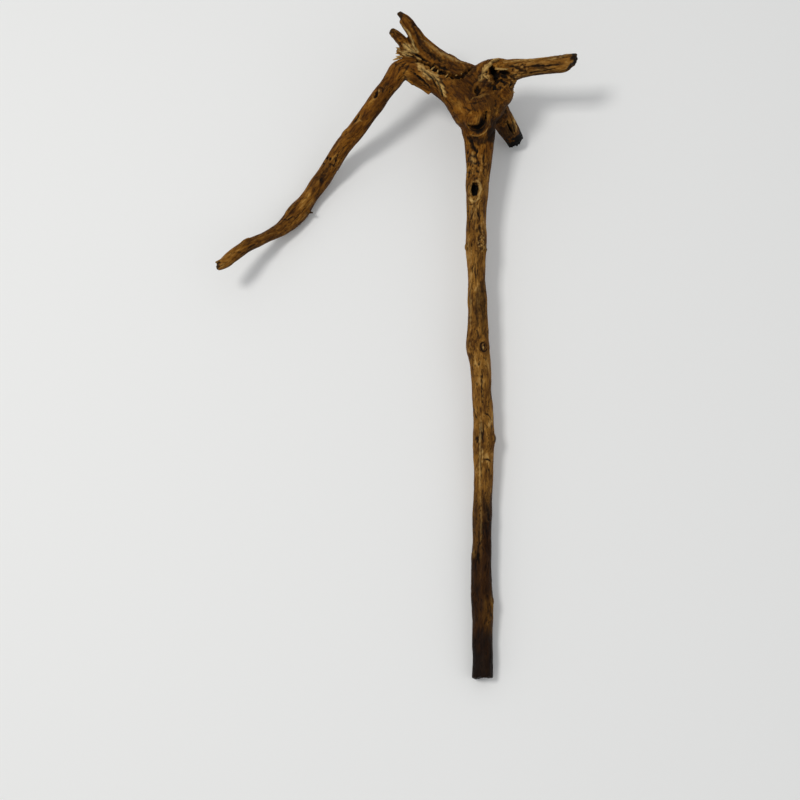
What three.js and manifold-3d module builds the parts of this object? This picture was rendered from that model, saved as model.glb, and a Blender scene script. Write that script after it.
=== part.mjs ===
// A bare, weathered branch lying on a flat surface: a long stem whose burr, the crown, throws
// out a drooping limb, two torn spurs, a short arm and a broken stub.
// Millimetres, +Z up. The origin is the middle of the footprint, on the surface it lies on, and
// the stem runs along Y. It rests on three spots: the stem's foot, the limb's belly, the stub's end.
import * as THREE from 'three';
import { mergeVertices } from 'three/addons/utils/BufferGeometryUtils.js';
import Module from 'manifold-3d';

const wasm = await Module();
wasm.setup();

// Each route is a list of stations along a limb's middle: x, y, z, then how wide the wood is
// across the lie of the branch, and how thick it is from front to back.
const STEM = [
  [50, -187, 5.4, 11.2, 10.6],
  [50, -167, 6.3, 10.8, 10.6],
  [50, -148.5, 7.4, 11.8, 11],
  [49.5, -130, 7.9, 10.8, 10.6],
  [50, -102.5, 8.8, 10.4, 10.2],
  [50.5, -80, 10, 10.6, 10.4],
  [50.8, -57, 11.3, 12, 11],
  [50, -35, 12.6, 11, 10.6],
  [49, -15, 14, 11.8, 11.2],
  [47.5, -3, 14.8, 13.4, 12.4],
  [47.6, 12, 15.9, 11.6, 11.2],
  [47, 29.5, 17, 10.6, 10.6],
  [46.5, 46.5, 18, 10.7, 10.6],
  [46.4, 56, 18.7, 12.3, 11.2],
  [46.7, 75, 20.2, 11.7, 11.4],
  [47.3, 94, 21.7, 13.5, 12.6],
  [48, 106.5, 23, 15, 13.6],
  [48.4, 118.5, 25, 17.4, 15.4],
  [47.6, 130.5, 28.5, 21, 19],
];
const LIMB = [
  [48, 106.5, 23, 15, 13.6],
  [48.4, 118.5, 25, 17.4, 15.4],
  [47.8, 130.5, 28.5, 21, 19],
  [44, 137.6, 30.8, 23.4, 21],
  [38.4, 145, 33.5, 22, 20],
  [29.5, 151.5, 36.5, 18.4, 17.5],
  [20, 156.2, 39, 15.6, 15],
  [11, 160, 40.8, 14, 13.4],
  [2, 159.4, 40.6, 12.4, 12],
  [-4, 153, 37.8, 11, 11],
  [-9.5, 146.8, 34.5, 10.5, 11],
  [-18, 137.5, 28.6, 10.4, 10.6],
  [-25, 130.5, 23, 10.5, 10.6],
  [-35, 121.2, 16.4, 10.2, 10.6],
  [-41.5, 112.8, 11.8, 10.2, 10.6],
  [-47.5, 104.8, 8.2, 10.1, 10.6],
  [-55, 94.2, 5.9, 10, 10.8],
  [-61, 85.8, 6.1, 11.6, 11.6],
  [-65.2, 79.6, 6.6, 10.8, 10.6],
  [-71.5, 72.5, 8.6, 7.9, 8.4],
  [-80, 64.8, 13.6, 7, 7.2],
  [-88, 57.4, 19, 7, 7],
  [-95.5, 49, 23.4, 7.2, 6.4],
  [-99.5, 44, 25.4, 6.2, 5.6],
  [-103, 41.5, 27, 4.4, 3.6],
];
const UPPER_SPUR = [
  [51, 152, 35, 16, 14],
  [42, 156.2, 37.5, 14.8, 13.6],
  [32.5, 160.8, 40, 12.8, 12.4],
  [23.5, 165.8, 43.2, 11.2, 11],
  [13.5, 172.6, 48, 10.2, 10],
  [9, 176.8, 51.8, 9.2, 8.4],
  [5, 181.2, 56.5, 6.6, 6],
  [1.8, 184.8, 59.8, 2.8, 2.6],
];
const SHORT_SPUR = [
  [20, 162.5, 41, 10, 10],
  [14.5, 166, 42.6, 9.6, 9.6],
  [9, 170, 45.6, 8.8, 8.6],
  [4.4, 173.8, 49, 7.6, 6.8],
  [0.3, 176.6, 51.6, 6, 5],
  [-3.2, 178.4, 54, 3.4, 2.6],
];
const ARM = [
  [47, 143, 33.5, 18, 17],
  [54.5, 152, 36.6, 17.6, 16.4],
  [62, 157.2, 38.6, 15.4, 14.8],
  [70, 159, 40.1, 12, 12],
  [78, 159.1, 41.8, 10, 10.4],
  [89.5, 159.2, 43.6, 9.8, 9.6],
  [98.5, 160.3, 45, 9, 8.2],
  [104.4, 162, 45.8, 4.6, 4.4],
];
const STUB = [
  [51, 149, 33, 16, 14],
  [55, 145, 28.6, 15.4, 13.4],
  [59, 141.5, 23, 14, 12],
  [63, 138, 17.5, 12.6, 11.4],
  [67.4, 134.2, 10.8, 11.6, 10.8],
  [70.8, 131, 4.4, 10.4, 9.6],
  [72, 129.8, 2.2, 6.8, 6.4],
];

// Which station each limb leaves the crown at. The stem and the drooping limb are one strand,
// so each of their routes has a station or two of the other's.
const STEM_FORK = 17;
const CROWN_START = 1;
const LIMB_FORK = 8;
const UPPER_SPUR_FORK = 4;
const SHORT_SPUR_FORK = 2;
const ARM_FORK = 3;
const STUB_FORK = 3;

// The pieces are split at the forks, with this gap between neighbours.
const SPLIT = 0.3;

// Hollows and lumps of the crown and the stem: middle, half sizes, and lean in the plane it
// lies in, in degrees.
const NOSE = { middle: [47, 129, 35], half: [7.4, 7, 6.2], lean: 10 };
const SHOULDER = { middle: [56, 159, 40], half: [12, 6.6, 6], lean: 12 };
const CAVITY = { middle: [60.5, 158, 48], half: [5.2, 3, 5.4], lean: -12 };
const EYE = { middle: [47.6, 126, 42.4], half: [3.8, 1.7, 3.4], lean: 12 };
const CRACK = { middle: [27.5, 161.5, 47.5], half: [13, 1.3, 3.6], lean: -30 };
const PITH_HOLE = { middle: [46, 92, 28.4], half: [1.7, 4, 2.6], lean: 0 };

const SIDES = 14;
const RINGS_PER_STATION = 3;
const GNARL = 0.035;
const WOOD = 0x8a5f2c;
const WET_WOOD = 0x6d4a24;

// How far the wood bulges or sinks at one place round a limb, as a share of its thickness.
function gnarl(along, around) {
  return GNARL * (Math.sin(3 * around + 1.9 * along) + 0.7 * Math.sin(2 * around - 2.7 * along + 1));
}

// A closed tube of oval sections between two stations of a route. A fraction of a station is
// allowed. grown adds to the thickness all round.
function tube(route, first, last, grown = 0) {
  const middles = new THREE.CatmullRomCurve3(route.map(([x, y, z]) => new THREE.Vector3(x, y, z)));
  const sizes = new THREE.CatmullRomCurve3(
    route.map(([, , , across, deep]) => new THREE.Vector3(across, deep, 0)));
  const rings = Math.ceil((last - first) * RINGS_PER_STATION);
  const geometry = new THREE.CylinderGeometry(1, 1, 1, SIDES, rings);
  const place = geometry.attributes.position;
  const up = new THREE.Vector3(0, 0, 1);
  for (let i = 0; i < place.count; i++) {
    const station = THREE.MathUtils.lerp(first, last, place.getY(i) + 0.5);
    const share = THREE.MathUtils.clamp(station / (route.length - 1), 0, 1);
    const ahead = middles.getTangent(share);
    const side = new THREE.Vector3().crossVectors(ahead, up).normalize();
    const front = new THREE.Vector3().crossVectors(side, ahead);
    const size = sizes.getPoint(share).addScalar(2 * grown);
    const bulge = 1 + gnarl(station, Math.atan2(place.getZ(i), place.getX(i)));
    const point = middles.getPoint(share)
      .addScaledVector(side, place.getX(i) * bulge * size.x / 2)
      .addScaledVector(front, place.getZ(i) * bulge * size.y / 2);
    place.setXYZ(i, point.x, point.y, point.z);
  }
  return solid(geometry);
}

// A lump or a hollow: a ball stretched to its half sizes and turned about Z.
function ball({ middle, half, lean }) {
  const geometry = new THREE.SphereGeometry(1, 12, 8);
  geometry.scale(...half);
  geometry.rotateZ(THREE.MathUtils.degToRad(lean));
  geometry.translate(...middle);
  return solid(geometry);
}

function solid(geometry) {
  geometry.deleteAttribute('normal');
  geometry.deleteAttribute('uv');
  const merged = mergeVertices(geometry, 1e-3);
  return new wasm.Manifold(new wasm.Mesh({
    numProp: 3,
    vertProperties: new Float32Array(merged.attributes.position.array),
    triVerts: new Uint32Array(merged.index.array),
  }));
}

// The station that lies a distance in millimetres further out than a given one.
function beyond(route, station, distance) {
  const here = new THREE.Vector3(...route[station]);
  const next = new THREE.Vector3(...route[station + 1]);
  return station + distance / here.distanceTo(next);
}

// The free length of a limb, from its fork to its tip, and the slightly larger room it needs.
function freeLimb(route, fork) {
  return tube(route, fork, route.length - 1);
}

function roomFor(route, fork) {
  return tube(route, beyond(route, fork, -SPLIT), route.length - 1, SPLIT);
}

function named(name, body, colour) {
  const { vertProperties, triVerts } = body.getMesh();
  const geometry = new THREE.BufferGeometry();
  geometry.setAttribute('position', new THREE.BufferAttribute(vertProperties, 3));
  geometry.setIndex(new THREE.BufferAttribute(triVerts, 1));
  geometry.computeVertexNormals();
  const material = new THREE.MeshStandardMaterial({ color: colour, roughness: 0.6, metalness: 0 });
  const mesh = new THREE.Mesh(geometry, material);
  mesh.name = name;
  return mesh;
}

const upperSpur = freeLimb(UPPER_SPUR, UPPER_SPUR_FORK);
const upperSpurRoom = roomFor(UPPER_SPUR, UPPER_SPUR_FORK);
const shortSpur = freeLimb(SHORT_SPUR, SHORT_SPUR_FORK).subtract(upperSpurRoom);

const crown = tube(LIMB, CROWN_START, LIMB_FORK)
  .add(tube(UPPER_SPUR, 0, UPPER_SPUR_FORK))
  .add(tube(SHORT_SPUR, 0, SHORT_SPUR_FORK))
  .add(tube(ARM, 0, ARM_FORK))
  .add(tube(STUB, 0, STUB_FORK))
  .add(ball(NOSE))
  .add(ball(SHOULDER))
  .subtract(upperSpurRoom)
  .subtract(roomFor(LIMB, LIMB_FORK))
  .subtract(roomFor(SHORT_SPUR, SHORT_SPUR_FORK))
  .subtract(roomFor(ARM, ARM_FORK))
  .subtract(roomFor(STUB, STUB_FORK))
  .subtract(ball(CAVITY))
  .subtract(ball(EYE))
  .subtract(ball(CRACK));

const stem = tube(STEM, 0, beyond(STEM, STEM_FORK, -SPLIT)).subtract(ball(PITH_HOLE));

const branch = new THREE.Group();
branch.add(named('stem', stem, WET_WOOD));
branch.add(named('crown', crown, WOOD));
branch.add(named('left_limb', freeLimb(LIMB, LIMB_FORK), WOOD));
branch.add(named('upper_spur', upperSpur, WOOD));
branch.add(named('short_spur', shortSpur, WOOD));
branch.add(named('right_arm', freeLimb(ARM, ARM_FORK), WOOD));
branch.add(named('back_stub', freeLimb(STUB, STUB_FORK), WET_WOOD));

export default branch;
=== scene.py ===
"""A bare, weathered branch lying on a pale floor: stem, crown, drooping limb, two torn spurs,
a short arm and a broken stub. The studio's lengths are in metres. The wood's are in millimetres
until a mesh is finished, then metres too."""
import math

import bmesh
import bpy
import numpy as np
from mathutils import Matrix, Vector, noise
from mathutils.bvhtree import BVHTree


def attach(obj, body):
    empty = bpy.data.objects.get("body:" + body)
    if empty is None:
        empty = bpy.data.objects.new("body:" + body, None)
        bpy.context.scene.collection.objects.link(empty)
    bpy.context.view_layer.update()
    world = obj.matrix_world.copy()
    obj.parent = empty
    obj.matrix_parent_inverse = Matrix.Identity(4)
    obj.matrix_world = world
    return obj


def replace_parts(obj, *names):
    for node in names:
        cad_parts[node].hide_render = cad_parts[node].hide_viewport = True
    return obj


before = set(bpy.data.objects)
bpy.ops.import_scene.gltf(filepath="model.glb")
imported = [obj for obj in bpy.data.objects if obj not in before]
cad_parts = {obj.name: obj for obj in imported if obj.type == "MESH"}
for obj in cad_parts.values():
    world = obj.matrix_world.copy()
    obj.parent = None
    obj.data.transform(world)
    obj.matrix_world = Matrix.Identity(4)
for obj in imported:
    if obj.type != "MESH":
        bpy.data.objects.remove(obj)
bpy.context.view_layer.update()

MM = 0.001


# ---- Studio ----------------------------------------------------------
# The branch lies on a plain, pale, slightly rough sheet. One large soft lamp stands up and to the
# left of it, a weak one fills from the right, and the camera looks down from the stem's side.
LENS_MM = 51.35
EYE_AT = Vector((48.5, -219.7, 628.2)) * MM
LOOKS_AT = Vector((-0.2, -19.1, -40.6)) * MM
HEAD_UP = Vector((0.0, 0.958, 0.287))
FLOOR_SIDE = 6.0
FLOOR_COLOUR = (0.86, 0.87, 0.87, 1.0)
FLOOR_ROUGHNESS = 0.9
SKY_COLOUR = (1.0, 1.0, 1.0, 1.0)
SKY_STRENGTH = 0.53
KEY = {"at": (-0.56, 0.04, 1.28), "side": 0.32, "watts": 7.4, "colour": (1.0, 0.98, 0.95)}
FILL = {"at": (0.9, -0.5, 0.9), "side": 0.9, "watts": 0.8, "colour": (0.94, 0.97, 1.0)}


def set_camera():
    camera = bpy.data.objects.new("camera", bpy.data.cameras.new("camera"))
    camera.data.lens = LENS_MM
    back = (EYE_AT - LOOKS_AT).normalized()
    right = HEAD_UP.cross(back).normalized()
    turn = Matrix((right, back.cross(right), back)).transposed()
    camera.matrix_world = Matrix.Translation(EYE_AT) @ turn.to_4x4()
    bpy.context.collection.objects.link(camera)
    bpy.context.scene.camera = camera


def set_lamp(name, at, side, watts, colour):
    light = bpy.data.lights.new(name, "AREA")
    light.size = side
    light.energy = watts
    light.color = colour
    lamp = bpy.data.objects.new(name, light)
    lamp.location = at
    lamp.rotation_euler = (Vector((0, 0, 0)) - lamp.location).to_track_quat("-Z", "Y").to_euler()
    bpy.context.collection.objects.link(lamp)


def lay_floor():
    sheet = bmesh.new()
    bmesh.ops.create_grid(sheet, x_segments=1, y_segments=1, size=FLOOR_SIDE / 2)
    mesh = bpy.data.meshes.new("floor")
    sheet.to_mesh(mesh)
    sheet.free()
    paper = bpy.data.materials.new("floor_paper")
    paper.use_nodes = True
    coat = paper.node_tree.nodes["Principled BSDF"]
    coat.inputs["Base Color"].default_value = FLOOR_COLOUR
    coat.inputs["Roughness"].default_value = FLOOR_ROUGHNESS
    mesh.materials.append(paper)
    floor = bpy.data.objects.new("floor", mesh)
    bpy.context.collection.objects.link(floor)


def set_sky():
    world = bpy.data.worlds.new("sky")
    world.use_nodes = True
    glow = world.node_tree.nodes["Background"]
    glow.inputs["Color"].default_value = SKY_COLOUR
    glow.inputs["Strength"].default_value = SKY_STRENGTH
    bpy.context.scene.world = world
    bpy.context.scene.view_settings.view_transform = "Standard"


set_camera()
set_lamp("key_lamp", **KEY)
set_lamp("fill_lamp", **FILL)
lay_floor()
set_sky()


# ---- Stem ------------------------------------------------------------
# The long straight stem, barkless and dry, dark where its foot has stood in the damp. It grew on
# into the crown, which begins at its last station. A station is x, y, z, width and thickness.
STEM = np.array([
    [50, -187, 5.4, 11.2, 10.6],
    [50, -167, 6.3, 10.8, 10.6],
    [50, -148.5, 7.4, 11.8, 11],
    [49.5, -130, 7.9, 10.8, 10.6],
    [50, -102.5, 8.8, 10.4, 10.2],
    [50.5, -80, 10, 10.6, 10.4],
    [50.8, -57, 11.3, 12, 11],
    [50, -35, 12.6, 11, 10.6],
    [49, -15, 14, 11.8, 11.2],
    [47.5, -3, 14.8, 13.4, 12.4],
    [47.6, 12, 15.9, 11.6, 11.2],
    [47, 29.5, 17, 10.6, 10.6],
    [46.5, 46.5, 18, 10.7, 10.6],
    [46.4, 56, 18.7, 12.3, 11.2],
    [46.7, 75, 20.2, 11.7, 11.4],
    [47.3, 94, 21.7, 13.5, 12.6],
    [48, 106.5, 23, 15, 13.6],
    [48.4, 118.5, 25, 17.4, 15.4],
])
INTO_CROWN = [47.8, 130.5, 28.5, 21, 19]
RING_SIDES = 28
STEPS_PER_STATION = 6
BALL_SIDES = 32
BALL_RINGS = 20
PITH = (45.9, 88.2)
# the way the crown's and the stem's hollows go in: down, and on towards the spurs
SLANT = (0, 0.5, -0.86)

# the raw wood, and what is to be worked into it once it is fused
wood = bmesh.new()
marks = []
patches = []
snaps = []
chars_and_shades = []
knots = []


def along(route, steps):
    """Stations at even steps of a smooth curve through a route's own stations."""
    at = np.linspace(0, len(route) - 1, (len(route) - 1) * steps + 1)
    first = np.minimum(at.astype(int), len(route) - 2)
    t = (at - first)[:, None]
    padded = np.vstack([2 * route[0] - route[1], route, 2 * route[-1] - route[-2]])
    a, b, c, d = (padded[first + k] for k in range(4))
    return b + 0.5 * t * (c - a + t * (2 * a - 5 * b + 4 * c - d + t * (3 * (b - c) + d - a)))


def ring_frames(stations):
    """For each station, the direction ahead, to the side and to the front, as rows."""
    ahead = np.gradient(stations[:, :3], axis=0)
    ahead /= np.linalg.norm(ahead, axis=1, keepdims=True)
    side = np.cross(ahead, [0, 0, 1])
    side /= np.linalg.norm(side, axis=1, keepdims=True)
    return ahead, side, np.cross(side, ahead)


def grow(route, steps=STEPS_PER_STATION, sides=RING_SIDES, into=None):
    """Adds a closed tube of oval rings to the raw wood: one ring, extruded from place to place."""
    into = into or wood
    stations = along(np.asarray(route, float), steps)
    ahead, side, front = ring_frames(stations)
    turns = []
    for k, (x, y, z, across, deep) in enumerate(stations):
        turn = Matrix.Identity(4)
        turn.col[0][:3] = side[k] * across / 2
        turn.col[1][:3] = front[k] * deep / 2
        turn.col[2][:3] = ahead[k]
        turn.col[3][:3] = (x, y, z)
        turns.append(turn)
    first = bmesh.ops.create_circle(into, cap_ends=True, segments=sides, radius=1, matrix=turns[0])
    ring = list({edge for vert in first["verts"] for edge in vert.link_edges})
    for before, after in zip(turns, turns[1:]):
        grown = bmesh.ops.extrude_edge_only(into, edges=ring)["geom"]
        ring = [g for g in grown if isinstance(g, bmesh.types.BMEdge) and g.is_boundary]
        verts = [g for g in grown if isinstance(g, bmesh.types.BMVert)]
        bmesh.ops.transform(into, matrix=after @ before.inverted(), verts=verts)
    bmesh.ops.contextual_create(into, geom=ring)


def swell(middle, half, lean=0.0):
    """Adds a ball to the raw wood, stretched to its half sizes and turned about Z."""
    turn = Matrix.Translation(middle) @ Matrix.Rotation(math.radians(lean), 4, "Z")
    stretch = Matrix.Diagonal((*half, 1))
    bmesh.ops.create_uvsphere(
        wood, u_segments=BALL_SIDES, v_segments=BALL_RINGS, radius=1, matrix=turn @ stretch)


def mark(path, width, depth, soot_and_shade=0.0, pale=0.0, deep=False, rough=0.35, into=None):
    """Notes a mark to be worked into the skin along a path given in plan: sunk by its depth, or
    raised where that is negative, and darkened or paled, which at some marks is a stain and at
    others painted shade and painted highlight. Deep ones are cut before the skin is made fine, so
    that their walls are as fine as the rest. They go straight in, or the way into says."""
    marks.append({
        "path": path, "width": width, "depth": depth, "soot_and_shade": soot_and_shade, "pale": pale,
        "deep": deep, "rough": rough, "into": into,
    })


def patch(middle, half, height, grain_size, soot_and_shade=0.0, pale=0.0, seed=11):
    """Notes a stretch of skin that is wrinkled or crumbling: an oval in plan with its own relief."""
    patches.append((np.array(middle), np.array(half), height, grain_size, soot_and_shade, pale, seed))


def snap(point, towards, ragged, depth=4.0):
    """Notes a broken end: the wood past a plane is torn back to it, in ragged fibres."""
    snaps.append((np.array(point, float), np.array(towards, float), ragged, depth))


def char_and_shade(middle, radius, strength, ragged=0.3):
    """Notes a darkened place, charred wood at some and painted shade at others: everything within a
    radius of it, with a ragged edge.
    """
    chars_and_shades.append((np.array(middle, float), radius, strength, ragged))


def knot(middle, half_width, half_length):
    """Notes a knot, which the grain parts to go round."""
    knots.append((middle, half_width, half_length))


def arc(middle, half, start, end, count=9):
    """Plan points round part of an ellipse, from one angle to another in degrees."""
    turns = np.radians(np.linspace(start, end, count))
    return [(middle[0] + half[0] * math.cos(t), middle[1] + half[1] * math.sin(t)) for t in turns]


grow(np.vstack([STEM, INTO_CROWN]))

# the pith hole, painted black inside and round its mouth as shade, with its healed rim and the pale
# scar at its lower end
for side_x in (45.2, 46.4):
    mark([(side_x, 91.6), (side_x, 85)], 2.2, 6, soot_and_shade=1.0, deep=True, rough=0.12, into=SLANT)
char_and_shade((45.8, 90, 23.4), 3.6, 1.0, ragged=0)
char_and_shade((45.8, 86.6, 23.4), 3.6, 1.0, ragged=0)
mark(arc(PITH, (3.2, 6), -70, 80), 1.1, -0.35, pale=0.4, rough=0.8)
mark(arc(PITH, (3.1, 5.6), 110, 215), 0.8, -0.1, pale=0.12, rough=0.8)
mark([(42.4, 83.8), (43.6, 81.8), (45.6, 81.2), (48.4, 82.6)], 1.1, -0.3, pale=0.85, rough=0.7)
mark([(42.4, 80), (45.8, 79)], 0.8, 0.5, soot_and_shade=0.6, rough=0.6)
knot((*PITH, 27), 3.4, 5.5)
# the wrinkled callus under the crown, with a dark fold down its left side
mark([(42.6, 118.4), (44.2, 114.6), (46.6, 110.8)], 2.0, 1.5, soot_and_shade=0.95, deep=True, rough=0.5)
mark([(47.4, 112.6), (46.4, 108.8), (47.2, 105.6)], 1.2, 0.8, soot_and_shade=0.6, rough=0.5)
mark([(44.6, 110.6), (44.2, 106.8), (45.6, 103.2)], 2.2, -0.7, pale=0.35, rough=0.5)
patch((45.6, 103.5, 28.5), (6.5, 9.5, 6), 0.9, (2.3, 2.6, 2.4), soot_and_shade=0.75)
mark([(41.4, 108), (41.8, 100), (41.2, 94)], 1.4, -0.6, rough=0.9)
mark([(51.4, 112), (50.6, 104), (51.2, 97)], 1.0, 0.4, soot_and_shade=0.5, rough=0.6)
# dark nicks down the left edge
mark([(41.6, 113.6), (41.4, 110.8)], 1.3, 0.5, soot_and_shade=0.85, rough=0.8)
mark([(41.2, 107.4), (41.2, 104)], 1.2, 0.5, soot_and_shade=0.85, rough=0.8)
mark([(41, 91), (41, 87.6)], 1.0, 0.4, soot_and_shade=0.7, rough=0.8)
# knots, rings and creases further down
mark([(47.4, 76.6), (47.8, 73), (48.6, 69.8)], 0.9, 0.5, soot_and_shade=0.85, rough=0.6)
mark([(48.7, 67.2), (49.2, 61.8)], 0.9, 0.4, soot_and_shade=0.7, rough=0.6)
patch((49.6, 62, 24), (3.4, 9, 4), 0.35, (1.4, 2.6, 1.4), soot_and_shade=0.5, seed=12)
patch((50, 56, 24), (3.6, 8, 4), 0.2, (0.9, 1.1, 0.9), soot_and_shade=0.6, pale=0.45, seed=18)
patch((44.4, 78, 25), (2.6, 9, 4), 0.25, (1.6, 3, 1.6), soot_and_shade=0.3, pale=0.4, seed=19)
# three worn nubs at one height, and the dark streaks and the pale ridge below them
mark([(42.2, 57.6), (42.4, 52.6)], 1.8, -0.6, soot_and_shade=0.35, rough=0.5)
mark([(43.6, 55.8), (44, 53.4)], 0.9, 0.5, soot_and_shade=0.6)
mark([(51.6, 55), (51.8, 52)], 2.2, -0.9, soot_and_shade=0.7)
mark([(40.6, 57), (40.8, 53)], 2.6, -0.8, soot_and_shade=0.3)
mark([(49.4, 32), (50.8, 20), (50.6, 2)], 3.4, 0.4, soot_and_shade=0.6, rough=0.2)
mark([(48.4, 30), (47.4, 22), (47.2, 6)], 3.2, 0.3, soot_and_shade=0.6, rough=0.3)
mark([(43.2, 32), (43.4, 18), (43.4, 4)], 1.3, -0.3, pale=0.25, rough=0.6)
# a small ringed knot with a pale heart, and the creases under it
mark(arc((50.9, -6), (1.7, 2.6), 20, 340, 14), 0.9, 0.4, soot_and_shade=0.85, rough=0.8)
mark([(50.5, -7.2), (50.7, -5.8)], 1.0, -0.5, pale=0.5, rough=0.6)
mark([(51.4, -5.8), (51.5, -4.2)], 1.1, 0.6, soot_and_shade=1.0, rough=0.6)
mark([(48.4, -1.4), (47, 3.4)], 0.9, 0.3, soot_and_shade=0.6, rough=0.7)
knot((50.8, -5, 20), 2.6, 4.0)
mark([(43.4, 1), (42.8, -8)], 3.2, -0.8)
mark([(49.8, -19), (49.6, -28), (50, -38)], 0.8, 0.4, soot_and_shade=0.5, rough=0.7)
mark([(51, -44), (53.4, -44.8), (55.4, -47.4)], 0.7, 0.5, soot_and_shade=0.8)
mark([(50.4, -70), (53.2, -70), (55.6, -71.4)], 0.7, 0.5, soot_and_shade=0.8)
# a pit on the left, a dark bud on the right, and the raised ridges that run past them, painted pale as
# a highlight
mark([(47, -57), (47.2, -60.4)], 1.4, 0.6, soot_and_shade=1.0, rough=0.5)
knot((47.1, -58.5, 16), 1.8, 3.0)
swell((56.1, -57.6, 12.6), (1.5, 2.8, 2.2))
char_and_shade((57.6, -57.8, 12.6), 2.4, 0.65)
mark([(48.8, -46), (48.6, -70), (48.8, -94)], 1.0, -0.3, pale=0.35, rough=0.8)
mark([(49.2, -48), (49.5, -51), (49.9, -55)], 0.8, -0.3, pale=0.4, rough=1.0)
mark([(49.8, -63), (50.2, -67), (50, -72)], 0.7, -0.3, pale=0.4, rough=1.0)
# the foot: faint rings and nubs, and its blackened, snapped end
mark([(51.8, -102), (52.4, -110)], 1.0, 0.3, soot_and_shade=0.4)
mark([(47, -121), (48, -126)], 1.4, 0.3, soot_and_shade=0.5)
mark([(55, -147.6), (55.2, -150.6)], 1.6, -0.7)
swell((45.5, -124, 9), (1.5, 5.6, 3.2))
mark([(45.2, -119.6), (45.2, -124)], 2.0, -0.3, pale=0.3, rough=0.6)
mark([(47.6, -121), (48.2, -127)], 1.6, 0.4, soot_and_shade=0.6, rough=0.5)
swell((54.9, -146.6, 8.4), (1.4, 2.4, 2.2))
mark([(52.6, -94), (53.6, -104)], 2.2, 0.3, soot_and_shade=0.75, rough=0.5)
mark(arc((53.2, -101.6), (1.8, 2.6), 60, 330, 10), 0.9, -0.4, pale=0.35, rough=0.7)
mark([(49.2, -92), (49.4, -104), (49, -116)], 0.8, -0.2, pale=0.3, rough=0.7)
snap((50, -186.6, 5.6), (0.05, -1, -0.04), 0.5)
char_and_shade((50, -187, 6), 7.5, 0.75)


# ---- Left limb -------------------------------------------------------
# The drooping limb, and the strand of the crown that it grew from: one length of wood that goes
# on from the stem's head. Its belly, where it bends outwards, is one of the three resting spots.
LIMB = np.array([
    [48, 106.5, 23, 15, 13.6],
    [48.4, 118.5, 25, 17.4, 15.4],
    [47.8, 130.5, 28.5, 21, 19],
    [44, 137.6, 30.8, 23.4, 21],
    [38.4, 145, 33.5, 22, 20],
    [29.5, 151.5, 36.5, 18.4, 17.5],
    [20, 156.2, 39, 15.6, 15],
    [11, 160, 40.8, 14, 13.4],
    [2, 159.4, 40.6, 12.4, 12],
    [-4, 153, 37.8, 11, 11],
    [-9.5, 146.8, 34.5, 10.5, 11],
    [-18, 137.5, 28.6, 10.4, 10.6],
    [-25, 130.5, 23, 10.5, 10.6],
    [-35, 121.2, 16.4, 10.2, 10.6],
    [-41.5, 112.8, 11.8, 10.2, 10.6],
    [-47.5, 104.8, 8.2, 10.1, 10.6],
    [-55, 94.2, 5.9, 10, 10.8],
    [-60.8, 85.6, 6.1, 12.4, 11.8],
    [-65.2, 79.6, 6.6, 10.8, 10.6],
    [-71.5, 72.5, 8.6, 7.9, 8.4],
    [-80, 64.8, 13.6, 7, 7.2],
    [-88, 57.4, 19, 7, 7],
    [-95.5, 49, 23.4, 7.2, 6.4],
    [-99.5, 44, 25.4, 6.8, 5.8],
    [-103.6, 41.2, 27, 6, 4.6],
])
NIB = [[-57, 86.4, 6.4, 2.8, 2.8], [-53.4, 85, 6.7, 2.0, 1.8], [-51, 84.2, 7, 0.9, 0.9]]
grow(LIMB)

swell((-30.2, 129.5, 22.4), (2, 5.6, 3.8), -47)
swell((-64.7, 84.2, 8), (2.9, 7.4, 4.4), -36)
swell((-89, 59.4, 19.6), (1.6, 4.2, 2.6), -45)
swell((-10.4, 146.5, 38.4), (1.4, 1.6, 1.7))
# a broken-off twig's nib
grow(NIB, steps=3, sides=9)
char_and_shade((-51.2, 84, 7), 3.0, 0.85)

# the knot at the elbow: a dark pit beside a pale nub
mark([(-11.7, 146), (-13.2, 143.6)], 1.9, 1.7, soot_and_shade=0.95, deep=True, rough=0.5)
mark([(-10.7, 146.9), (-10.1, 146.1)], 1.6, -0.4, pale=0.6, rough=0.4)
mark([(-10.4, 149), (-8.4, 147.6), (-8, 145.4)], 0.8, 0.4, soot_and_shade=0.6, rough=0.5)
mark([(-14.4, 144.6), (-13.6, 142.4), (-11.6, 142.6)], 0.8, -0.3, pale=0.2, rough=0.5)
knot((-11.4, 145.4, 39), 1.8, 3.2)
# dark curls in the grain over the bend
mark([(1.2, 155.4), (2.4, 158), (5.4, 160.2)], 1.3, 0.4, soot_and_shade=0.65, rough=0.8)
mark([(3.8, 154.8), (6, 156.8), (7.6, 159.4)], 1.0, 0.4, soot_and_shade=0.6, rough=0.8)
# steps, pits and wrinkles where twigs once grew
mark([(-22.8, 136.2), (-24.6, 134), (-26.9, 131.8)], 1.1, 1.2, soot_and_shade=0.95, deep=True, rough=0.5)
mark([(-24.6, 131.4), (-22.4, 132.8), (-20.8, 131.8)], 0.9, -0.3, pale=0.2, rough=0.6)
mark([(-43.6, 116.6), (-42.8, 115.2)], 1.3, 1.5, soot_and_shade=1.0, deep=True, rough=0.5)
mark([(-41.6, 115), (-40.8, 113.8)], 1.0, 1.2, soot_and_shade=1.0, deep=True, rough=0.5)
mark([(-37.5, 113.5), (-37.2, 113)], 0.8, 1.0, soot_and_shade=0.9, deep=True)
mark([(-45.8, 113.6), (-44.8, 112.4)], 1.1, 0.8, soot_and_shade=0.9, rough=0.5)
mark([(-41.4, 112), (-38.6, 110.8), (-35.4, 111.4)], 0.9, 0.6, soot_and_shade=0.7, rough=0.6)
mark([(-38.4, 108), (-41.4, 103.4), (-45, 98.4), (-49.6, 93.6)], 1.9, 0.4, soot_and_shade=0.5, rough=0.6)
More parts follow.
